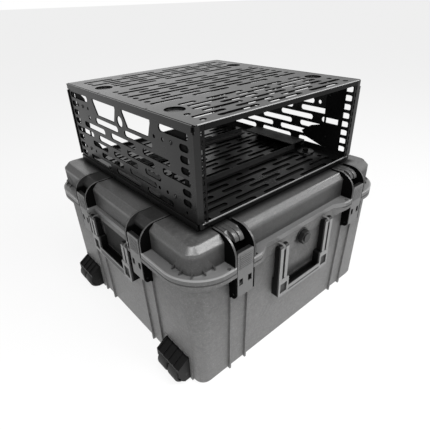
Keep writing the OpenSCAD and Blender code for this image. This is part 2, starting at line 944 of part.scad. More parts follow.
// Trapezoid hand window over two rows, with its long side up.
module hand_window(x) {
    top = 3.5 * side_row + slot_h / 2;
    low = 2.5 * side_row - slot_h / 2;
    polygon([[x - slot_l / 2, top], [x + slot_l / 2, top], [x + slot_l / 2, top - 6],
             [x + slot_l / 2 - 12, low], [x - slot_l / 2 + 16, low], [x - slot_l / 2, top - 6]]);
}

function row_y(k) = (4.5 - k) * side_row;

module side_row_slots(k, centres, low, high) {
    for (c = centres)
        slot(max(c - slot_l / 2, low), min(c + slot_l / 2, high), row_y(k), slot_h);
}

// Long slots of a side panel, kept between low and high.
module side_slots(low, high) {
    odd = slot_pitch / 2;
    for (k = [1, 5])
        side_row_slots(k, [-1.5 * slot_pitch, 1.5 * slot_pitch], low, high);
    for (k = [3, 5, 7])
        side_row_slots(k, [-odd, odd], low, high);
    side_row_slots(4, [-slot_pitch, 0], low, high);
    side_row_slots(6, [-slot_pitch], 25 - slot_pitch * 1.37, high);
    side_row_slots(6, [0], low, high);
    slot(slot_pitch - slot_l / 2, slot_pitch + 5, row_y(6), slot_h);
    side_row_slots(8, [-slot_pitch, 0], low, high);
    for (k = [4, 8])
        slot(slot_pitch - slot_l / 2, slot_pitch + 42, row_y(k), slot_h);
}

// Holes of a side panel, seen from outside with the panel's front to the right; slots_x moves the slots.
module side_panel_holes(slots_x) {
    front = panel_l / 2 - edge_front;
    rear = edge_rear - panel_l / 2;
    odd = slot_pitch / 2;
    translate([slots_x, 0])
        side_slots(rear - slots_x, front - slots_x);
    for (x = [-odd, odd])
        hand_window(x);
    translate([0, row_y(2)])
        circle(12);
    for (k = [2, 3, 4, 6, 7])
        slot(front - end_hole_front, front, row_y(k), slot_h);
    for (k = [2, 3, 4, 6, 7, 8])
        slot(rear, rear + end_hole_rear, row_y(k), slot_h);
    for (k = [2, 7], x = [-210, -156, 133, 161])
        translate([x, row_y(k)])
            circle(4);
    for (k = [2, 7], s = [-1, 1])
        translate([s * bracket_screw_u, row_y(k)])
            circle(d = bracket_screw_d, $fn = 48);
    translate([-156, row_y(3)])
        circle(5);
    translate([front - 18, row_y(8)])
        circle(3);
    for (x = [-rivet_u, rivet_u], k = [-2, 0, 2])
        translate([x, k * side_row])
            circle(d = rivet_d, $fn = 48);
}

module side_panel(slots_x) {
    color(coat)
        translate([-panel_x, rack_back, rack_z + rack_h / 2])
            rotate([90, 0, -90])
                mirror([0, 0, 1])
                    linear_extrude(sheet)
                        difference() {
                            square([panel_l, panel_h], center = true);
                            side_panel_holes(slots_x);
                        }
}

module dish_places() {
    for (x = [-1, 1], y = [-1, 1])
        translate([x * dish_x, y * dish_y - deck_front])
            children();
}

// Rows of slots in the top and bottom panels; two rows stay plain as stiff bands.
module deck_holes() {
    for (i = [-11:10]) {
        y = (i + 0.5) * deck_row;
        near_dish = abs(abs(y) - dish_y) < dish_r + slot_h / 2 + 2;
        reach = near_dish ? dish_x - dish_r - 3 : deck_reach;
        shift = (i % 2 == 0) ? 0.5 : 0;
        if (abs(abs(y) - band_y) > 1)
            for (j = [-2:2]) {
                centre = (j + shift) * deck_pitch;
                x0 = max(centre - deck_slot_l / 2, -reach);
                x1 = min(centre + deck_slot_l / 2, reach);
                if (x1 - x0 > slot_h * 0.9)
                    slot(x0, x1, y - deck_front, slot_h * 0.85);
            }
    }
    dish_places()
        circle(dish_r);
    for (x = [-1, 1], y = [-1, 1])
        translate([x * rack_w / 2, y * band_y - deck_front])
            square([22, 2.4], center = true);
    for (x = [-1, 1], y = [-1, 1])
        translate([x * rack_w / 2, y * rack_d / 2])
            square(2 * corner_notch, center = true);
}

// Pressed cup that takes the head of a rubber mount, sunk by dish_depth below z = 0.
module dish(bolt_d) {
    rotate_extrude()
        polygon([[bolt_d / 2, -dish_depth - sheet], [dish_r + 1, -dish_depth - sheet],
                 [dish_r + 1, 0], [dish_r - 0.5, 0], [dish_r - 1.5, -dish_depth],
                 [bolt_d / 2, -dish_depth]]);
}

// The top panel in its own frame: outer face at z = 0, folded edges hanging down.
module deck(bolt_d) {
    difference() {
        translate([0, 0, -sheet])
            linear_extrude(sheet)
                difference() {
                    square([rack_w, rack_d], center = true);
                    deck_holes();
                }
        for (s = [-1, 1])
            translate([s * (rack_w / 2 - sheet - seam_w / 2), 0, 0])
                cube([seam_w, rack_d + 2, 2 * seam_depth], center = true);
    }
    dish_places()
        dish(bolt_d);
    for (s = [-1, 1]) {
        translate([s * (rack_w - sheet) / 2, 0, -side_lip / 2])
            cube([sheet, lip_l, side_lip], center = true);
        translate([0, s * (rack_d - sheet) / 2, -front_lip / 2])
            cube([rail_gap_w, sheet, front_lip], center = true);
    }
}

module rack_top_panel() {
    color(coat)
        translate([0, rack_back, deck_top])
            deck(0);
}

module rack_bottom_panel() {
    color(coat)
        translate([0, rack_back, rack_z])
            mirror([0, 0, 1])
                deck(dish_bolt_d);
}

module rack_left_panel() {
    side_panel(0);
}

module rack_right_panel() {
    translate([0, 2 * rack_back, 0])
        rotate([0, 0, 180])
            side_panel(-right_slots_front);
}

// Upright rails: an angle with square mounting holes in its front face.
module rail(sx, sy) {
    low = rack_z + sheet;
    first = rack_z + rack_h / 2 - units * eia_u / 2;
    color(coat)
        translate([0, rack_back, 0])
            mirror([sx < 0 ? 0 : 1, 0, 0])
                mirror([0, sy < 0 ? 0 : 1, 0])
                    difference() {
                        union() {
                            box_between([-rack_w / 2, -rack_d / 2, low],
                                        [-rack_w / 2 + rail_face, -rack_d / 2 + sheet, low + panel_h]);
                            box_between([-panel_x + sheet, -rack_d / 2, low],
                                        [-panel_x + 2 * sheet, -rack_d / 2 + rail_leg, low + panel_h]);
                        }
                        for (u = [0:units - 1], h = [6.35, 22.225, 38.1])
                            translate([-eia_w / 2, -rack_d / 2, first + u * eia_u + h])
                                cube([eia_hole_w, 3 * sheet, eia_hole_h], center = true);
                        for (z = [low, low + panel_h])
                            translate([-rack_w / 2, -rack_d / 2, z])
                                cube([2 * corner_notch, 2 * sheet, 2 * side_lip], center = true);
                        rivet_places()
                            along_x(rivet_d, 6 * sheet);
                    }
}

module rivet_places() {
    for (k = [-2, 0, 2])
        translate([-panel_x + sheet, -rivet_u, rack_z + rack_h / 2 + k * side_row])
            children();
}

module rail_rivets() {
    color(steel)
        translate([0, rack_back, 0])
            for (x = [0, 1], y = [0, 1])
                mirror([x, 0, 0])
                    mirror([0, y, 0])
                        rivet_places()
                            along_x(rivet_d, 2 * sheet);
}

// Plates inside the side panels that stiffen them behind the rails, with a window over one row of slots.
module bracket_view() {
    w = bracket_in + bracket_w;
    wing = bracket_foot - w;
    top = panel_h / 2 - 8;
    difference() {
        polygon([[bracket_in, top], [w - bracket_cut_l, top], [w, top - bracket_cut_h], [w, -1.03 * side_row],
                 [w + 0.56 * wing, -1.5 * side_row], [bracket_foot, -2.43 * side_row],
                 [w + 0.78 * wing, -3.08 * side_row], [w + 0.09 * wing, -3.7 * side_row],
                 [bracket_in, -3.9 * side_row]]);
        translate([bracket_in + 11, -0.5 * side_row - 8])
            square([bracket_w - 16, 16]);
        for (k = [2, 7])
            translate([rack_d / 2 - bracket_screw_u, row_y(k)])
                circle(d = bracket_screw_d);
    }
}

// Draws on the inside of a side panel: x from the rail inwards, y up from the middle of the frame.
module inside_panel(sx, sy) {
    translate([0, rack_back, rack_z + rack_h / 2])
        mirror([sx < 0 ? 0 : 1, 0, 0])
            mirror([0, sy < 0 ? 0 : 1, 0])
                translate([-panel_x + sheet, -rack_d / 2, 0])
                    rotate([90, 0, 90])
                        children();
}

module rail_bracket(sx, sy) {
    color(coat)
        inside_panel(sx, sy)
            linear_extrude(bracket_t)
                bracket_view();
}

module bracket_screws() {
    color(coat)
        for (sx = [-1, 1], sy = [-1, 1], k = [2, 7])
            inside_panel(sx, sy)
                translate([rack_d / 2 - bracket_screw_u, row_y(k), -sheet]) {
                    cylinder(d = bracket_screw_d, h = sheet + bracket_t + 1);
                    translate([0, 0, -2.2])
                        cylinder(d1 = 7, d2 = 9.5, h = 2.2);
                }
}

// Stiffeners across the plain bands of the floor panel.
module cross_brace(sy) {
    color(coat)
        translate([0, rack_back - deck_front + sy * band_y, rack_z + sheet]) {
            translate([-dish_x, -8, 0])
                cube([2 * dish_x, 16, 2]);
            translate([-dish_x, sy < 0 ? -8 : 6, 0])
                cube([2 * dish_x, 2, 14]);
        }
}

module equipment_ledge(sx) {
    inner = panel_x - sheet;
    color(coat)
        translate([0, rack_back - equip_ledge_front, rack_z + sheet])
            mirror([sx < 0 ? 1 : 0, 0, 0])
                difference() {
                    union() {
                        box_between([inner - equip_ledge_w, -equip_ledge_l / 2, equip_ledge_z],
                                    [inner, equip_ledge_l / 2, equip_ledge_z + 2]);
                        box_between([inner - 2, -equip_ledge_l / 2, 0],
                                    [inner, equip_ledge_l / 2, equip_ledge_z + 2]);
                    }
                }
}

module shock_mounts() {
    color(rubber)
        translate([0, rack_back, lid_top])
            dish_places()
                difference() {
                    union() {
                        cylinder(r = mount_r, h = rack_lift);
                        cylinder(r = mount_r - 3, h = rack_lift + dish_depth);
                    }
                    translate([0, 0, 2])
                        cylinder(d = dish_bolt_d, h = rack_lift + dish_depth);
                }
}

module mount_bolts() {
    floor_z = rack_lift + dish_depth + sheet;
    color(steel)
        translate([0, rack_back, lid_top])
            dish_places() {
                translate([0, 0, 2])
                    cylinder(d = dish_bolt_d, h = floor_z - 1);
                translate([0, 0, floor_z])
                    cylinder(r = dish_bolt_d * 0.95, h = 5.5, $fn = 6);
            }
}

base_shell();
lid_shell();
seal();
hinge_pins();
latch_pins();
handle_pins();
on_face("front", -latch_front_x) latch();  // latch_front_left
on_face("front", latch_front_x) latch();  // latch_front_right
on_face("left", latch_side_y) latch();  // latch_left_front
on_face("left", -latch_side_y) latch();  // latch_left_rear
on_face("right", -latch_side_y) latch();  // latch_right_front
on_face("right", latch_side_y) latch();  // latch_right_rear
on_face("front") handle(front_grip_z);  // handle_front
on_face("left") handle(side_grip_z);  // handle_left
on_face("right") handle(side_grip_z);  // handle_right
on_face("left", wheel_y) wheel_housing();  // wheel_housing_front
on_face("left", -wheel_y) wheel_housing();  // wheel_housing_rear
wheel_axles();
on_face("left", wheel_y) wheel(-1);  // wheel_front_inner
on_face("left", wheel_y) wheel(1);  // wheel_front_outer
on_face("left", -wheel_y) wheel(1);  // wheel_rear_inner
on_face("left", -wheel_y) wheel(-1);  // wheel_rear_outer
valve_seat();
valve_knob();
rack_top_panel();
rack_bottom_panel();
rack_left_panel();
rack_right_panel();
rail(-1, -1);  // rail_front_left
rail(1, -1);  // rail_front_right
rail(-1, 1);  // rail_rear_left
rail(1, 1);  // rail_rear_right
rail_rivets();
rail_bracket(-1, -1);  // rail_bracket_front_left
rail_bracket(1, -1);  // rail_bracket_front_right
rail_bracket(-1, 1);  // rail_bracket_rear_left
rail_bracket(1, 1);  // rail_bracket_rear_right
bracket_screws();
cross_brace(-1);  // cross_brace_front
cross_brace(1);  // cross_brace_rear
equipment_ledge(-1);  // equipment_ledge_left
equipment_ledge(1);  // equipment_ledge_right
shock_mounts();
mount_bolts();
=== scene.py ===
import json
import math

import bmesh
import bpy
import numpy as np
from mathutils import Matrix


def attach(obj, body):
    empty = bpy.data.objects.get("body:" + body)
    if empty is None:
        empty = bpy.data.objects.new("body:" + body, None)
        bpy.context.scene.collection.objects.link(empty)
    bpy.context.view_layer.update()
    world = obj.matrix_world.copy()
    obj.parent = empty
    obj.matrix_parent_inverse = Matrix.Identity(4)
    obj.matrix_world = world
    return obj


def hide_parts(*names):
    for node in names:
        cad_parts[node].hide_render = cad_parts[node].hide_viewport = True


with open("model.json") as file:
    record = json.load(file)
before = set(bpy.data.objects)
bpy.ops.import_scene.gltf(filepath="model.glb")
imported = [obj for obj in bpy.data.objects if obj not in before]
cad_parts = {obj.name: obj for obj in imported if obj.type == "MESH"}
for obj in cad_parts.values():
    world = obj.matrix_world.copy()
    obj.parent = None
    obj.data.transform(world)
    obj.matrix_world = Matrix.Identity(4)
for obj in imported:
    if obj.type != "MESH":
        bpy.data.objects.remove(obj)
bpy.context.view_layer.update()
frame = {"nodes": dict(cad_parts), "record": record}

# Case base
# The tub is one injection moulding in grey polypropylene, with a fine pebble grain on its outside,
# ribs under each latch, a flange round its mouth and lugs for the handles and latches.

MM = 0.001
body_of_node = {
    node: body for body, nodes in frame["record"]["behaviour"]["bodies"].items() for node in nodes
}
slot_of_node = {piece["node"]: piece["material_slot"] for piece in frame["record"]["subparts"]}


class Shade:
    """A shader socket that takes part in Python sums; every operator adds one Math node."""

    def __init__(self, tree, socket):
        self.tree = tree
        self.socket = socket

    def node(self, kind, settings=None, out=0, **sockets):
        """Adds a node: its settings first (a ramp's stops as pairs), then its sockets by name or number."""
        made = self.tree.nodes.new(kind)
        for key, value in (settings or {}).items():
            if key != "stops":
                setattr(made, key, value)
                continue
            ramp = made.color_ramp.elements
            for stop, (place, level) in zip(ramp, value):
                stop.position = place
                stop.color = (level, level, level, 1.0)
        for key, value in sockets.items():
            numbered = key[0] == "i" and key[1:].isdigit()
            target = made.inputs[int(key[1:]) if numbered else key.replace("_", " ")]
            if isinstance(value, Shade):
                self.tree.links.new(value.socket, target)
            else:
                target.default_value = value
        return Shade(self.tree, made.outputs[out])

    def maths(self, operation, *others):
        """A Math node that takes this socket first and then the others."""
        return self.node("ShaderNodeMath", {"operation": operation},
                         **{f"i{k}": v for k, v in enumerate((self, *others))})

    def __add__(self, other):
        return self.maths("ADD", other)

    __radd__ = __add__

    def __mul__(self, other):
        return self.maths("MULTIPLY", other)

    __rmul__ = __mul__

    def __sub__(self, other):
        return self.maths("SUBTRACT", other)

    def __rsub__(self, other):
        return self * -1.0 + other

    def __abs__(self):
        return self.maths("ABSOLUTE")


def grain(place, scale, detail=2.0, rough=0.5):
    """Noise from 0 to 1 with features of about 1 / scale metres."""
    return place.node("ShaderNodeTexNoise", Vector=place, Scale=scale, Detail=detail, Roughness=rough)


def specks(value, start, full):
    """0 under start, 1 over full, so that only the peaks of a noise are left."""
    return value.node("ShaderNodeValToRGB", {"stops": [(start, 0.0), (full, 1.0)]}, Fac=value)


def blend(mask, dark, light):
    """A colour from dark to light, by the mask."""
    dark, light = (c if isinstance(c, Shade) else (*c, 1.0) for c in (dark, light))
    return mask.node("ShaderNodeMix", {"data_type": "RGBA"}, out=2, i0=mask, i6=dark, i7=light)


def grey(level, warm=0.0):
    """A grey of that 0 to 255 screen level as linear colour, a touch warmer or cooler."""
    linear = ((level / 255 + 0.055) / 1.055) ** 2.4
    return (linear * (1 + warm), linear, linear * (1 - warm))


def new_finish(name):
    """A material with its shader and its surface coordinates in metres."""
    made = bpy.data.materials.new(name)
    made.use_nodes = True
    shader = made.node_tree.nodes["Principled BSDF"]
    place = made.node_tree.nodes.new("ShaderNodeTexCoord")
    return made, shader, Shade(made.node_tree, place.outputs["Object"])


def feed(shader, **sockets):
    """Links or sets the shader's sockets by name."""
    for key, value in sockets.items():
        target = shader.inputs[key.replace("_", " ")]
        if isinstance(value, Shade):
            value.tree.links.new(value.socket, target)
        else:
            target.default_value = value


def relief(height, depth):
    """A Bump node that raises the surface by up to depth metres."""
    return height.node("ShaderNodeBump", Strength=1.0, Distance=depth, Height=height)


def darken(finish, shader, place, mask, colour):
    """Mixes the finish to a dull colour where the mask is 1."""
    dull = place.node("ShaderNodeBsdfDiffuse", Color=colour)
    both = place.node("ShaderNodeMixShader", i0=mask, i1=Shade(place.tree, shader.outputs[0]), i2=dull)
    place.tree.links.new(both.socket, finish.node_tree.nodes["Material Output"].inputs["Surface"])


SAME_POINT, SAME_PLANE = 1e-6, math.radians(0.4)


def dressed(node, finish, edge, sharp=32, segments=2, reshape=None, only=None):
    """The CAD node's form with its loose triangles joined, its flat faces cleaned and its edges eased.

    Points within 1 micron are merged, triangles in one plane become one face, and every edge that
    turns by more than sharp degrees gets a round of edge millimetres, as moulds and paint leave it.
    A reshape function, if given, moves the points first. With only, the round is kept to the edges
    whose two ends that function picks.
    """
    mesh = frame["nodes"][node].data.copy()
    form = bmesh.new()
    form.from_mesh(mesh)
    bmesh.ops.remove_doubles(form, verts=form.verts, dist=SAME_POINT)
    bmesh.ops.dissolve_limit(form, angle_limit=SAME_PLANE, verts=form.verts, edges=form.edges)
    form.to_mesh(mesh)
    form.free()
    points = np.empty(3 * len(mesh.vertices), np.float32)
    mesh.vertices.foreach_get("co", points)
    points = points.reshape(-1, 3).astype(float)
    if reshape:
        points = reshape(points)
        mesh.vertices.foreach_set("co", points.astype(np.float32).ravel())
        mesh.update()
    mesh.polygons.foreach_set("use_smooth", np.ones(len(mesh.polygons), bool))
    mesh.set_sharp_from_angle(angle=math.radians(sharp))
    mesh.materials.clear()
    mesh.materials.append(finish)
    piece = bpy.data.objects.new(node + "_dressed", mesh)
    bpy.context.scene.collection.objects.link(piece)
    if edge:
        ease = piece.modifiers.new("edges", "BEVEL")
        ease.limit_method = "ANGLE"
        ease.angle_limit = math.radians(sharp)
        ease.width = edge * MM
        ease.segments = segments
        ease.use_clamp_overlap = True
        ease.harden_normals = True
        if only:
            ends = np.empty(2 * len(mesh.edges), np.int32)
            mesh.edges.foreach_get("vertices", ends)
            turned = np.empty(len(mesh.edges), bool)
            mesh.attributes["sharp_edge"].data.foreach_get("value", turned)
            picked = only(points)[ends.reshape(-1, 2)].all(axis=1) & turned
            weight = mesh.attributes.new("bevel_weight_edge", "FLOAT", "EDGE")
            weight.data.foreach_set("value", picked.astype(np.float32))
            ease.limit_method = "WEIGHT"
            ease.harden_normals = False
            flatten = piece.modifiers.new("normals", "WEIGHTED_NORMAL")
            flatten.weight = 100
            flatten.keep_sharp = True
    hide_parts(node)
    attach(piece, body_of_node[node])


def below(value, limit, soft):
    """1 where the value is under limit, 0 above it, with a ramp of width soft between."""
    return value.node(
        "ShaderNodeMapRange", {"interpolation_type": "SMOOTHSTEP"},
        Value=value, From_Min=limit - soft / 2, From_Max=limit + soft / 2, To_Min=1.0, To_Max=0.0)


def across(place, axis):
    """One coordinate of the surface point."""
    return place.node("ShaderNodeSeparateXYZ", out=axis, Vector=place)


FRONT_LATCH_X, SIDE_LATCH_Y = 195 * MM, 126 * MM
RIM_X, RIM_Y, RIM_CORNER, RIM_SKIN = 326 * MM, 317 * MM, 88 * MM, 5 * MM
JOINT, JOINT_DARK = 297 * MM, 0.6
WELL_FOOT, WELL_TOP, WELL_HALF, WELL_DEPTH = 227 * MM, 286 * MM, 27.5 * MM, 19.2 * MM


def beside_latches(place, half_front, half_side, depth):
    """1 within a half width of the six latches' middles and nearer than depth to the rim's face."""
    x, y = across(place, 0), across(place, 1)
    near_front = below(y, depth - RIM_Y, 0.6 * MM)
    near_side = 1 - below(abs(x), RIM_X - depth, 0.6 * MM)
    front = below(abs(abs(x) - FRONT_LATCH_X), half_front, 0.4 * MM) * near_front
    side = below(abs(abs(y) - SIDE_LATCH_Y), half_side, 0.4 * MM) * near_side
    return front.maths("MAXIMUM", side)


def latch_well_shade(place):
    """1 in the wells that the latches lie in, under the base's flange, which are painted dull black as
    painted shade in those recesses.
    """
    z = across(place, 2)
    upright = (1 - below(z, WELL_FOOT, 1 * MM)) * below(z, WELL_TOP, 1 * MM)
    return beside_latches(place, WELL_HALF, WELL_HALF, WELL_DEPTH) * upright


def rim_depth(place):
    """How far the surface point lies inside the rim's outline, a rectangle with round corners."""
    x = (abs(across(place, 0)) - (RIM_X - RIM_CORNER)).maths("MAXIMUM", 0.0)
    y = (abs(across(place, 1)) - (RIM_Y - RIM_CORNER)).maths("MAXIMUM", 0.0)
    return RIM_CORNER - (x * x + y * y).maths("SQRT")


def joint_line(place, low, high):
    """The dark gap on the rim's outside between two heights, where lid and base meet."""
    z = across(place, 2)
    outside = below(rim_depth(place), RIM_SKIN, 1 * MM)
    band = (1 - below(z, low, 0.5 * MM)) * below(z, high, 0.5 * MM)
    return JOINT_DARK * outside * band


SIDE_RECESS_X, SIDE_RECESS_HALF = 304.8 * MM, 66 * MM
SIDE_RECESS_FOOT, SIDE_RECESS_TOP = 212 * MM, 284 * MM
FRONT_RECESS_Y, FRONT_RECESS_HALF = -295.4 * MM, 62 * MM
FRONT_RECESS_FOOT, FRONT_RECESS_TOP = 176 * MM, 283 * MM
GRIP_SHADE_FOOT, GRIP_SHADE_TOP = 168 * MM, 196 * MM
WALL_FADE_MIDDLE, WALL_FADE_WIDTH = 190 * MM, 170 * MM
# Strengths of the painted shade behind the handles, above the grip and on the walls.
SIDE_RECESS_SHADE, FRONT_RECESS_SHADE, GRIP_SHADE_DARK, WALL_SHADE = 0.8, 0.22, 0.45, 0.22


def base_shade_and_joint(place):
    """Where the base turns dull black: 1 in the latch wells, and less on the walls behind the handles, all as
    painted shade, and at the dark joint.

    The walls also get painted shade that grows towards the flange.
    """
    x, y, z = (across(place, axis) for axis in range(3))
    # Painted shade on the side walls behind the side handles.
    upright = (1 - below(z, SIDE_RECESS_FOOT, 16 * MM)) * below(z, SIDE_RECESS_TOP, 4 * MM)
    behind = (1 - below(abs(x), SIDE_RECESS_X, 0.6 * MM)) * below(abs(y), SIDE_RECESS_HALF, 22 * MM) * upright
    dark = latch_well_shade(place).maths("MAXIMUM", SIDE_RECESS_SHADE * behind)
    # Painted shade on the front wall behind the front handle, deepest just above its grip.
    front = below(y, FRONT_RECESS_Y, 0.6 * MM) * below(abs(x), FRONT_RECESS_HALF, 12 * MM)
    front = front * below(z, FRONT_RECESS_TOP, 6 * MM)
    low = below(z, GRIP_SHADE_TOP, 26 * MM) * (1 - below(z, GRIP_SHADE_FOOT, 4 * MM))
    shaded = FRONT_RECESS_SHADE * (1 - below(z, FRONT_RECESS_FOOT, 8 * MM)) + GRIP_SHADE_DARK * low
    dark = dark.maths("MAXIMUM", front * shaded)
    # Painted shade on all the walls, growing towards the flange.
    dark = dark.maths("MAXIMUM", WALL_SHADE * (1 - below(z, WALL_FADE_MIDDLE, WALL_FADE_WIDTH)))
    return dark.maths("MAXIMUM", joint_line(place, JOINT - 2.6 * MM, JOINT + 0.5 * MM))


GRAIN_DARKER, GRAIN_PALER, FLECK_PALER, WARMTH = 46, 38, 70, 0.006


def case_plastic(name, darks_and_painted_shade, level, rough, gloss=0.5, painted_light=None):
    """Grey polypropylene: pebble grain, pale flecks, broad mottling, and dull black where the first function
    says: dark channels and joints, and painted shade.

    A second function, if given, paints light on some places.
    """
    finish, shader, place = new_finish(name)
    pebble = grain(place, 420.0, 3.0, 0.65)
    fleck = specks(grain(place, 330.0, 2.0, 0.6), 0.58, 0.76)
    mottle = grain(place, 14.0, 4.0, 0.6)
    cloud = grain(place, 120.0, 3.0, 0.6)
    dark, pale = grey(level - GRAIN_DARKER, WARMTH), grey(level + GRAIN_PALER, WARMTH)
    body = blend(0.1 * mottle + 0.4 * pebble + 0.5 * cloud, dark, pale)
    colour = blend(0.4 * fleck, body, grey(level + FLECK_PALER))
    # Painted light, where a function for it is given.
    if painted_light:
        colour = painted_light(place, colour)
    # The mask of dark channels, dark joints and painted shade.
    mask = darks_and_painted_shade(place)
    shader.inputs["Specular IOR Level"].default_value = gloss
    feed(shader, Base_Color=colour, Roughness=rough + 0.2 * pebble, Normal=relief(pebble, 0.34 * MM))
    darken(finish, shader, place, mask, blend(pebble, grey(4), grey(12)))
    return finish


dressed("base_shell", case_plastic("base_plastic", base_shade_and_joint, level=85, rough=0.42), edge=1.0)

# Lid
# The lid is moulded like the base, with rolled shoulders, guard rails beside each latch and ribs at
# its corners. The channels between the guard rails, where the latches lie, are dull black, partly as
# painted shade.

RACK_Y = 10 * MM
FLANGE_TOP, WALL_TOP, LID_DECK = 311 * MM, 350 * MM, 366 * MM
CHANNEL_FRONT, CHANNEL_SIDE, CHANNEL_DEPTH = 22.9 * MM, 26.1 * MM, 89 * MM
RAIL_FRONT, RAIL_SIDE, RAIL_SKIN = 28.1 * MM, 31.3 * MM, 1 * MM
FRONT_STRAP_Y, FRONT_STRAP_FOOT, FRONT_STRAP_HALF = -150 * MM, 351 * MM, 17 * MM
SIDE_STRAP_Y, SIDE_STRAP_FOOT = -160 * MM, 346 * MM
# How much paler the straps are painted, as painted light.
FRONT_STRAP_LIT, SIDE_STRAP_LIT = 0.8, 0.4
# Reach and strength of the painted shadow under the rack's edge, and of the painted shade on the lid's walls.
RACK_SHADE_X, RACK_SHADE_Y = 259 * MM, 267 * MM
RACK_SHADE_DARK, LID_WALL_SHADE = 0.85, 0.42


def lid_darks_and_shade(place):
    """1 in the channels, partly as painted shade, and as painted shade on the outsides of their guard rails,
    above the flange.

    The straps, where the channels run over the lid's shoulder, are less dark, most of all at the front:
    painted light that they catch. The lid also gets a painted shadow under the rack's edge, painted shade
    on its walls, and a dark joint.
    """
    x, y, z = (across(place, axis) for axis in range(3))
    strips = beside_latches(place, CHANNEL_FRONT, CHANNEL_SIDE, CHANNEL_DEPTH)
    # Painted light: the straps' upper parts are mixed back from black.
    front_strap = below(y, FRONT_STRAP_Y, 1 * MM) * (1 - below(z, FRONT_STRAP_FOOT, 1 * MM))
    middle = below(abs(abs(x) - FRONT_LATCH_X), FRONT_STRAP_HALF, 1 * MM)
    side_strap = (1 - below(y, SIDE_STRAP_Y, 1 * MM)) * (1 - below(z, SIDE_STRAP_FOOT, 8 * MM))
    strips = strips * (1 - FRONT_STRAP_LIT * front_strap * middle) * (1 - SIDE_STRAP_LIT * side_strap)
    # Painted shade: the outsides of the guard rails, between these two widths, turn dull black.
    outside = beside_latches(place, RAIL_FRONT, RAIL_SIDE, CHANNEL_DEPTH)
    edges = beside_latches(place, RAIL_FRONT - RAIL_SKIN, RAIL_SIDE - RAIL_SKIN, CHANNEL_DEPTH)
    above = 1 - below(z, FLANGE_TOP, 1 * MM)
    darks = strips.maths("MAXIMUM", (outside - edges) * above)
    # Painted shadow on the lid under the rack's edge.
    painted_rack_shadow = below(abs(x), RACK_SHADE_X, 18 * MM) * below(abs(y - RACK_Y), RACK_SHADE_Y, 18 * MM)
    painted_rack_shadow = painted_rack_shadow * (1 - below(z, LID_DECK, 2 * MM))
    darks = darks.maths("MAXIMUM", RACK_SHADE_DARK * painted_rack_shadow)
    # Painted shade on the lid's walls, between the flange and the shoulder.
    darks = darks.maths("MAXIMUM", LID_WALL_SHADE * above * below(z, WALL_TOP, 12 * MM))
    return darks.maths("MAXIMUM", joint_line(place, JOINT - 9 * MM, JOINT + 0.8 * MM))


LIP_WIDTH, LIP_FOOT = 3.2 * MM, 306.5 * MM
# Greys of the painted light on the flange's top and the painted highlight on its lip.
FLANGE_LIT_GREY, LIP_HIGHLIGHT_GREY = 88, 122


def flange_painted_light(place, colour):
    """Painted light: the flange's top is painted paler than the lid, as lit from above, and its outer lip
    paler still, as a painted highlight.
    """
    z, depth = across(place, 2), rim_depth(place)
    flange = below(z, FLANGE_TOP + 0.5 * MM, 1 * MM)
    top = flange * (1 - below(depth, 1 * MM, 1 * MM))
    lip = flange * below(depth, LIP_WIDTH, 0.8 * MM) * (1 - below(z, LIP_FOOT, 1 * MM))
    return blend(lip, blend(top, colour, grey(FLANGE_LIT_GREY)), grey(LIP_HIGHLIGHT_GREY))


LID_MIDDLE, LID_HALF = np.array([0.0, 3 * MM]), np.array([303 * MM, 291 * MM])
LID_CORNER, LID_TOP, SHOULDER, CHAMFER = 28 * MM, 368 * MM, 18 * MM, 13 * MM


def chamfered(points):
    """The lid's rolled shoulder with a flat chamfer pressed into it.

    In the upright plane square to the lid's edge, each point of the shoulder keeps its bearing from the
    round's middle and moves along it, to the line that cuts the corner of wall and top by CHAMFER, or to
    the wall or the top where that line ends.
    """
    plan = np.abs(points[:, :2] - LID_MIDDLE) - (LID_HALF - LID_CORNER)
    beyond = np.hypot(*np.maximum(plan, 0).T) + np.minimum(plan.max(axis=1), 0)
    out = beyond - LID_CORNER + SHOULDER
    rise = points[:, 2] - LID_TOP + SHOULDER
    reach = np.hypot(out, rise)
    moved = (out > 0) & (rise > 0) & (reach < SHOULDER + 0.6 * MM) & (reach > 0.5 * SHOULDER)
    line = (2 * SHOULDER - CHAMFER) / np.maximum(out + rise, 1e-6)
    share = np.minimum(line, SHOULDER / np.maximum(np.maximum(out, rise), 1e-6)) * reach / SHOULDER
    share = np.where(moved, share, 1.0)
    away = points[:, :2] - LID_MIDDLE
    core = np.clip(away, LID_CORNER - LID_HALF, LID_HALF - LID_CORNER)
    radial = away - core
    length = np.maximum(np.hypot(*radial.T), 1e-9)
    shift = np.where(moved, (share - 1) * out, 0.0)
    result = points.copy()
    result[:, :2] += radial * (shift / length)[:, None]
    result[:, 2] += np.where(moved, (share - 1) * rise, 0.0)
    return result


# The lid is the base's grey plastic written darker, 48 against 85, as painted shade, with painted light on
# its flange.
lid_plastic_shaded = case_plastic("lid_plastic_shaded", lid_darks_and_shade, level=48, rough=0.28, gloss=0.85, painted_light=flange_painted_light)
dressed("lid_shell", lid_plastic_shaded, edge=1.2, sharp=50, reshape=chamfered)

# Seal and pins
# A black rubber ring lies in the base's rim. Steel pins pressed into the base carry the lid's hinges,
# plated bright with zinc, and the latches, handles and wheels, plated black.


def rubber_finish(name, level=20, rough=0.6):
    """Matt black rubber with a faint bloom."""
    finish, shader, place = new_finish(name)
    bloom = grain(place, 60.0, 4.0, 0.6)
    feed(shader, Base_Color=blend(bloom, grey(level - 6), grey(level + 10)),
         Roughness=rough + 0.2 * grain(place, 400.0), Normal=relief(grain(place, 700.0, 3.0), 0.12 * MM))
    return finish


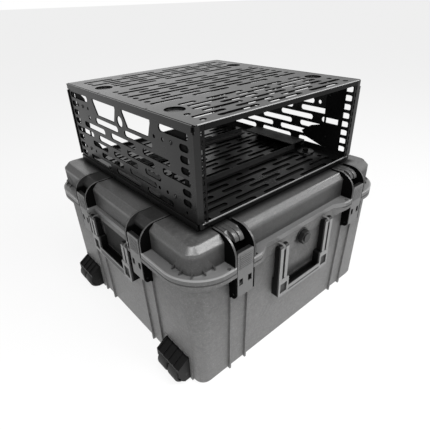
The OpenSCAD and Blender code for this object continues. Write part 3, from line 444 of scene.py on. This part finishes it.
def zinc_finish(name, level):
    """Zinc plate, bright or blackened, slightly clouded."""
    finish, shader, place = new_finish(name)
    cloud = grain(place, 120.0, 4.0, 0.6)
    feed(shader, Base_Color=blend(cloud, grey(level - 20), grey(level + 20)), Metallic=1.0,
         Roughness=0.25 + 0.2 * cloud, Normal=relief(grain(place, 900.0), 0.03 * MM))
    return finish


zinc, black_zinc = zinc_finish("zinc_plate", level=170), zinc_finish("black_zinc_plate", level=40)
dressed("seal", rubber_finish("seal_rubber"), edge=0.3)
dressed("hinge_pins", zinc, edge=0.4)
for pins in ("latch_pins", "handle_pins", "wheel_axles"):
    dressed(pins, black_zinc, edge=0.4)

# Latches
# Six draw latches, each a channel in satin nylon that turns on a pin in the base, with two square
# windows at its foot and a ribbed thumb grip at its top. Their faces are grey and their sides painted
# near black, as painted shade.

LATCH_HALF, FACE_DEPTH = 30 * MM, 1.5 * MM
GRIP_FOOT, GRIP_TOP, GRIP_PITCH = 300 * MM, 333 * MM, 4.4 * MM


def latch_face(name):
    """Grey faces; all that lies beyond FACE_DEPTH from the rim's plane, the sides, is painted near black as
    painted shade.

    The thumb grip's valleys, one in each GRIP_PITCH, are darker: painted shade in the grooves.
    """
    finish, shader, place = new_finish(name)
    face = beside_latches(place, LATCH_HALF, LATCH_HALF, FACE_DEPTH)
    texture = grain(place, 420.0, 3.0, 0.65)
    z = across(place, 2)
    step = ((GRIP_TOP - z) * (1 / GRIP_PITCH)).maths("FRACT")
    grip = (1 - below(z, GRIP_FOOT, 0.5 * MM)) * below(z, GRIP_TOP + 0.5 * MM, 0.5 * MM)
    valley_shade = (1 - below(step, 0.47, 0.12)) * grip
    colour = blend(texture, grey(66), grey(98))
    # Painted shade in the grip's valleys.
    colour = blend(0.5 * valley_shade, colour, grey(12))
    # Painted shade: all but the faces is near black.
    feed(shader, Base_Color=blend(face, grey(16), colour), Roughness=0.36 + 0.16 * texture,
         Normal=relief(texture, 0.16 * MM))
    return finish


latch_finish = latch_face("latch_nylon")
for side in ("front_left", "front_right", "left_front", "left_rear", "right_front", "right_rear"):
    dressed("latch_" + side, latch_finish, edge=0.6)

# Handles
# Three folding carry handles in glass-filled nylon: two grooved arms, square feet and a troughed
# grip, hung on steel pins through the base's lugs.

FRONT_FACE_Y, SIDE_FACE_X = -318.4 * MM, 327.4 * MM
FRONT_POCKET_Y, SIDE_POCKET_X = -315 * MM, 324 * MM
FRONT_TROUGH_Z, FRONT_TROUGH_HALF = 163 * MM, 2.4 * MM
SIDE_TROUGH_Z, SIDE_TROUGH_HALF = 204.5 * MM, 6.5 * MM
TROUGH_REACH, SIDE_HANDLE_X = 59 * MM, 300 * MM


def handle_lit_faces(name):
    """Black nylon with painted light: the outermost faces are painted pale grey, as a painted highlight,
    and the floors of the feet's pockets a darker painted grey.

    The troughs in the three grips stay as dark as the pockets: painted shade in the troughs.
    """
    finish, shader, place = new_finish(name)
    x, y, z = (across(place, axis) for axis in range(3))
    texture = grain(place, 420.0, 3.0, 0.65)
    face = below(y, FRONT_FACE_Y, 0.4 * MM).maths("MAXIMUM", 1 - below(abs(x), SIDE_FACE_X, 0.4 * MM))
    pocket_light = below(y, FRONT_POCKET_Y, 1 * MM).maths("MAXIMUM", 1 - below(abs(x), SIDE_POCKET_X, 1 * MM))
    trough_shade = below(abs(z - FRONT_TROUGH_Z), FRONT_TROUGH_HALF, 0.6 * MM) * below(abs(x), TROUGH_REACH, 1 * MM)
    side = below(abs(z - SIDE_TROUGH_Z), SIDE_TROUGH_HALF, 0.6 * MM) * below(abs(y), TROUGH_REACH, 1 * MM)
    trough_shade = trough_shade.maths("MAXIMUM", side * (1 - below(abs(x), SIDE_HANDLE_X, 1 * MM)))
    # Painted light: the pockets' floors are grey, the rest stays black.
    colour = blend(pocket_light, grey(8), blend(texture, grey(40), grey(66)))
    # Painted highlight on the outermost faces, with painted shade in the troughs.
    colour = blend(face * (1 - trough_shade), colour, blend(texture, grey(96), grey(136)))
    shader.inputs["Specular IOR Level"].default_value = 0.14
    feed(shader, Base_Color=colour, Roughness=0.32 + 0.16 * texture, Normal=relief(texture, 0.1 * MM))
    return finish


handle_finish = handle_lit_faces("handle_nylon")
for side in ("front", "left", "right"):
    dressed("handle_" + side, handle_finish, edge=0.8)

# Wheels
# Two housings moulded in black nylon on the left wall, each with a ribbed hood over a pair of solid
# wheels in hard rubber, which turn on one axle.


def black_nylon(name, level, rough, gloss):
    """Satin black nylon: fine spark grain and slow changes of sheen."""
    finish, shader, place = new_finish(name)
    shader.inputs["Specular IOR Level"].default_value = gloss
    sheen = grain(place, 24.0, 4.0, 0.6)
    feed(shader, Base_Color=blend(sheen, grey(level - 6), grey(level + 8)), Roughness=rough + 0.16 * sheen,
         Normal=relief(grain(place, 900.0, 2.0, 0.6), 0.07 * MM))
    return finish


housing_black = black_nylon("housing_nylon", level=11, rough=0.34, gloss=0.17)
wheel_black = rubber_finish("wheel_rubber", level=14, rough=0.5)
for end in ("front", "rear"):
    dressed("wheel_housing_" + end, housing_black, edge=0.6)
    for place_in_pair in ("inner", "outer"):
        dressed(f"wheel_{end}_{place_in_pair}", wheel_black, edge=0.8)

# Purge valve
# A seat in black nylon screwed through the front wall, with a six-sided knob that is turned by hand
# to even out the air pressure.

valve_black = black_nylon("valve_nylon", level=12, rough=0.3, gloss=0.4)
dressed("valve_seat", valve_black, edge=0.6)
dressed("valve_knob", valve_black, edge=1.0)

# Rack frame
# Laser-cut, folded steel sheet with a fine black powder coat: top and bottom trays, two side
# panels, upright rails with mounting holes, brackets behind the rails, braces and ledges.

RACK_Z = 471 * MM
RACK_MIDDLE = np.array([0.0, RACK_Y, RACK_Z])
RACK_HALF = np.array([250 * MM, 258.5 * MM, 99 * MM])


def fold_edges(points):
    """The points on the frame's outer sides, for the folds, and on its top, for the slots' upper rims."""
    outer = np.abs(np.abs(points - RACK_MIDDLE) - RACK_HALF) < 0.2 * MM
    return outer[:, :2].any(axis=1) | (outer[:, 2] & (points[:, 2] > RACK_MIDDLE[2]))


CUT_HALF = 1.25 * MM
DECK_X, DECK_Y, DECK_RISE = 246.5 * MM, 254 * MM, 97.5 * MM
PANEL_X, PANEL_Y, PANEL_RISE = 245.5 * MM, 251 * MM, 94 * MM
SEAM_X, SEAM_HALF, SEAM_FOOT = 246 * MM, 1.3 * MM, 568 * MM
# The fold's sizes and the strength of its painted shade.
FOLD_X, FOLD_Y, FOLD_TOP, FOLD_SHADE = 236 * MM, 257 * MM, 568.4 * MM, 0.6


def cut_walls(place):
    """1 inside the sheets' thickness, where only the walls of slots and holes lie, as painted shade, and
    on the deck's dark seams.

    The folded front and rear lips of the decks are darkened too, as painted shade, by 0.6.
    """
    x, y, z = (across(place, axis) for axis in range(3))
    along, rise = abs(y - RACK_Y), abs(z - RACK_Z)
    inside = below(abs(x), DECK_X, 0.2 * MM) * below(along, DECK_Y, 0.2 * MM)
    deck = below(abs(rise - DECK_RISE), CUT_HALF, 0.2 * MM)
    panel = below(abs(abs(x) - PANEL_X), CUT_HALF, 0.2 * MM) * below(along, PANEL_Y, 0.2 * MM)
    seam = below(abs(abs(x) - SEAM_X), SEAM_HALF, 0.3 * MM) * (1 - below(z, SEAM_FOOT, 0.5 * MM))
    fold = (1 - below(along, FOLD_Y, 0.6 * MM)) * below(abs(x), FOLD_X, 1 * MM)
    walls = (inside * deck).maths("MAXIMUM", panel * below(rise, PANEL_RISE, 0.2 * MM))
    return walls.maths("MAXIMUM", seam).maths("MAXIMUM", FOLD_SHADE * fold * below(z, FOLD_TOP, 0.6 * MM))


# Where the painted highlight runs along the lips' edges, and its grey.
TOP_EDGE_Y, TOP_EDGE_Z = 256.4 * MM, 568.8 * MM
LOW_EDGE_Y, LOW_EDGE_Z, LOW_EDGE_HALF = 254 * MM, 383 * MM, 1.1 * MM
EDGE_REACH, EDGE_HIGHLIGHT_GREY = 240 * MM, 150


def lip_highlights(place):
    """1 along the upper edges of the decks' front and rear lips, which are painted paler, as a painted
    highlight.
    """
    along, z = abs(across(place, 1) - RACK_Y), across(place, 2)
    top = (1 - below(z, TOP_EDGE_Z, 0.4 * MM)) * (1 - below(along, TOP_EDGE_Y, 0.4 * MM))
    low = below(abs(z - LOW_EDGE_Z), LOW_EDGE_HALF, 0.4 * MM) * (1 - below(along, LOW_EDGE_Y, 0.4 * MM))
    return top.maths("MAXIMUM", low) * below(abs(across(place, 0)), EDGE_REACH, 1 * MM)


def powder_coat(name, level, rough, gloss):
    """Black powder coat: fine orange peel and slow changes of sheen, with painted highlights on the lips'
    edges; the cut walls are painted dull black as painted shade.
    """
    finish, shader, place = new_finish(name)
    peel = grain(place, 620.0, 2.0, 0.55)
    sheen = grain(place, 14.0, 4.0, 0.6)
    shader.inputs["Specular IOR Level"].default_value = gloss
    body = blend(sheen, grey(level - 4), grey(level + 6))
    feed(shader, Base_Color=blend(0.9 * lip_highlights(place), body, grey(EDGE_HIGHLIGHT_GREY)),
         Roughness=rough + 0.14 * sheen, Normal=relief(peel, 0.06 * MM))
    darken(finish, shader, place, cut_walls(place), blend(peel, grey(2), grey(6)))
    return finish


# One black coat in three copies: the brackets' and bolts' copy is written darker and duller, as painted
# shade, and the ledges' and braces' copy paler, as painted light.
coat = powder_coat("rack_powder_coat", level=8, rough=0.22, gloss=0.29)
shaded_coat = powder_coat("shaded_powder_coat", level=6, rough=0.6, gloss=0.05)
lit_ledge_coat = powder_coat("lit_ledge_powder_coat", level=40, rough=0.5, gloss=0.2)
for node, slot in slot_of_node.items():
    if slot != "rack_coat":
        continue
    if node.startswith("rack_"):
        dressed(node, coat, edge=1.3, segments=3, only=fold_edges)
    elif node.startswith("rail_bracket"):
        dressed(node, shaded_coat, edge=0.6)
    elif node.startswith(("equipment", "cross")):
        dressed(node, lit_ledge_coat, edge=0.6)
    else:
        dressed(node, coat, edge=0.6)
dressed("rail_rivets", coat, edge=0.0)

# Shock mounts
# Four rubber buffers between the lid and the frame's floor, which keep knocks off the equipment.
# Each is held by a bolt that is coated black with the frame.

dressed("shock_mounts", rubber_finish("mount_rubber"), edge=0.8)
# The bolts take the darker copy of the coat, as painted shade.
dressed("mount_bolts", shaded_coat, edge=0.4)

# Studio
# A pale floor, white surroundings that are dimmed in some directions, four soft lamps, and the camera
# where the photograph was taken from.

scene = bpy.context.scene
scene.view_settings.view_transform = "Standard"


def seen_directly(tree):
    """Two switches: 1 for rays from the camera, and 1 for rays off mirrors or through glass."""
    path = tree.nodes.new("ShaderNodeLightPath")
    camera, glossy, through = (
        Shade(tree, path.outputs[name]) for name in ("Is Camera Ray", "Is Glossy Ray", "Is Transmission Ray"))
    return camera, glossy.maths("MAXIMUM", through)


world = bpy.data.worlds.new("surroundings")
scene.world = world
world.use_nodes = True
sky = world.node_tree.nodes["Background"]
sky.inputs["Color"].default_value = (1, 1, 1, 1)
gaze = world.node_tree.nodes.new("ShaderNodeTexCoord")
gaze = Shade(world.node_tree, gaze.outputs["Generated"])
CAMERA_DIM, CEILING_DIM, LEFT_DIM, RIGHT_DIM = 0.85, 0.8, 0.7, 0.4
ROOM_TO_GLOSS, ROOM_TO_REST = 1.3, 0.3
camera_side = 1 - below(-0.62 * across(gaze, 0) - 0.78 * across(gaze, 1), 0.2, 1.0)
ceiling = 1 - below(across(gaze, 2), 0.62, 0.5)
left_flag = 1 - below(-0.41 * across(gaze, 0) + 0.86 * across(gaze, 1) + 0.3 * across(gaze, 2), 0.86, 0.2)
right_flag = 1 - below(0.95 * across(gaze, 0) + 0.3 * across(gaze, 1), 0.84, 0.24)
dim = (1 - CAMERA_DIM * camera_side) * (1 - CEILING_DIM * ceiling)
dim = dim * (1 - LEFT_DIM * left_flag) * (1 - RIGHT_DIM * right_flag)
to_camera, to_gloss = seen_directly(world.node_tree)
room = dim * (to_gloss * ROOM_TO_GLOSS + (1 - to_gloss) * ROOM_TO_REST)
feed(sky, Strength=to_camera + (1 - to_camera) * room)

FLOOR_HALF, FLOOR_PAINT = 90.0, (0.92, 0.92, 0.92, 1)
GLOW_SEEN, GLOW_BOUNCED = 1.0, 2.0
GLOW_SHARE_SEEN, GLOW_SHARE_BOUNCED = 0.85, 0.58
floor_mesh = bpy.data.meshes.new("floor")
corners = [(x * FLOOR_HALF, y * FLOOR_HALF, 0) for x, y in ((-1, -1), (1, -1), (1, 1), (-1, 1))]
floor_mesh.from_pydata(corners, [], [(0, 1, 2, 3)])
floor = bpy.data.objects.new("floor", floor_mesh)
scene.collection.objects.link(floor)
floor_paint = bpy.data.materials.new("floor_paint")
floor_paint.use_nodes = True
tree = floor_paint.node_tree
tree.nodes.remove(tree.nodes["Principled BSDF"])
to_camera, to_gloss = seen_directly(tree)
seen = to_camera.maths("MAXIMUM", to_gloss)
matt = seen.node("ShaderNodeBsdfDiffuse", Color=FLOOR_PAINT)
glow_strength = seen * (GLOW_SEEN - GLOW_BOUNCED) + GLOW_BOUNCED
glow = seen.node("ShaderNodeEmission", Color=(1, 1, 1, 1), Strength=glow_strength)
glow_share = seen * (GLOW_SHARE_SEEN - GLOW_SHARE_BOUNCED) + GLOW_SHARE_BOUNCED
surface = seen.node("ShaderNodeMixShader", i0=glow_share, i1=matt, i2=glow)
tree.links.new(surface.socket, tree.nodes["Material Output"].inputs["Surface"])
floor_mesh.materials.append(floor_paint)


def soft_lamp(name, place, target, size, power):
    """A square area lamp at place, facing target."""
    data = bpy.data.lights.new(name, "AREA")
    data.energy = power
    data.size = size
    lamp = bpy.data.objects.new(name, data)
    scene.collection.objects.link(lamp)
    gaze = np.subtract(target, place)
    lamp.location = place
    lamp.rotation_euler = (
        math.atan2(math.hypot(gaze[0], gaze[1]), -gaze[2]), 0, math.atan2(gaze[1], gaze[0]) - math.pi / 2)


soft_lamp("overhead", (-0.25, -1.0, 2.4), target=(0, 0, 0.3), size=0.8, power=22)
soft_lamp("corner", (-1.25, -0.88, 1.95), target=(-0.28, -0.27, 0.36), size=0.9, power=30)
soft_lamp("front_right", (0.7, -1.5, 2.0), target=(0, -0.1, 0.3), size=1.2, power=50)
soft_lamp("left", (-2.5, 0.9, 1.0), target=(0, 0, 0.2), size=1.5, power=3)

AZIMUTH, ELEVATION, ROLL = (math.radians(a) for a in (-39.96, 30.64, -1.95))
FOCAL_PIXELS, IMAGE_PIXELS, SENSOR = 365.43, 430, 36.0
CAMERA_PLACE = (-0.58935, -0.7015, 0.74186)
back = np.array([
    math.sin(AZIMUTH) * math.cos(ELEVATION), -math.cos(AZIMUTH) * math.cos(ELEVATION), math.sin(ELEVATION)])
level = np.array([math.cos(AZIMUTH), math.sin(AZIMUTH), 0.0])
upright = np.cross(back, level)
right = math.cos(ROLL) * level + math.sin(ROLL) * upright
up = math.cos(ROLL) * upright - math.sin(ROLL) * level
camera_data = bpy.data.cameras.new("camera")
camera_data.sensor_width = SENSOR
camera_data.lens = SENSOR * FOCAL_PIXELS / IMAGE_PIXELS
camera = bpy.data.objects.new("camera", camera_data)
scene.collection.objects.link(camera)
pose = np.eye(4)
pose[:3, :3] = np.column_stack([right, up, back])
pose[:3, 3] = CAMERA_PLACE
camera.matrix_world = Matrix(pose.tolist())
scene.camera = camera
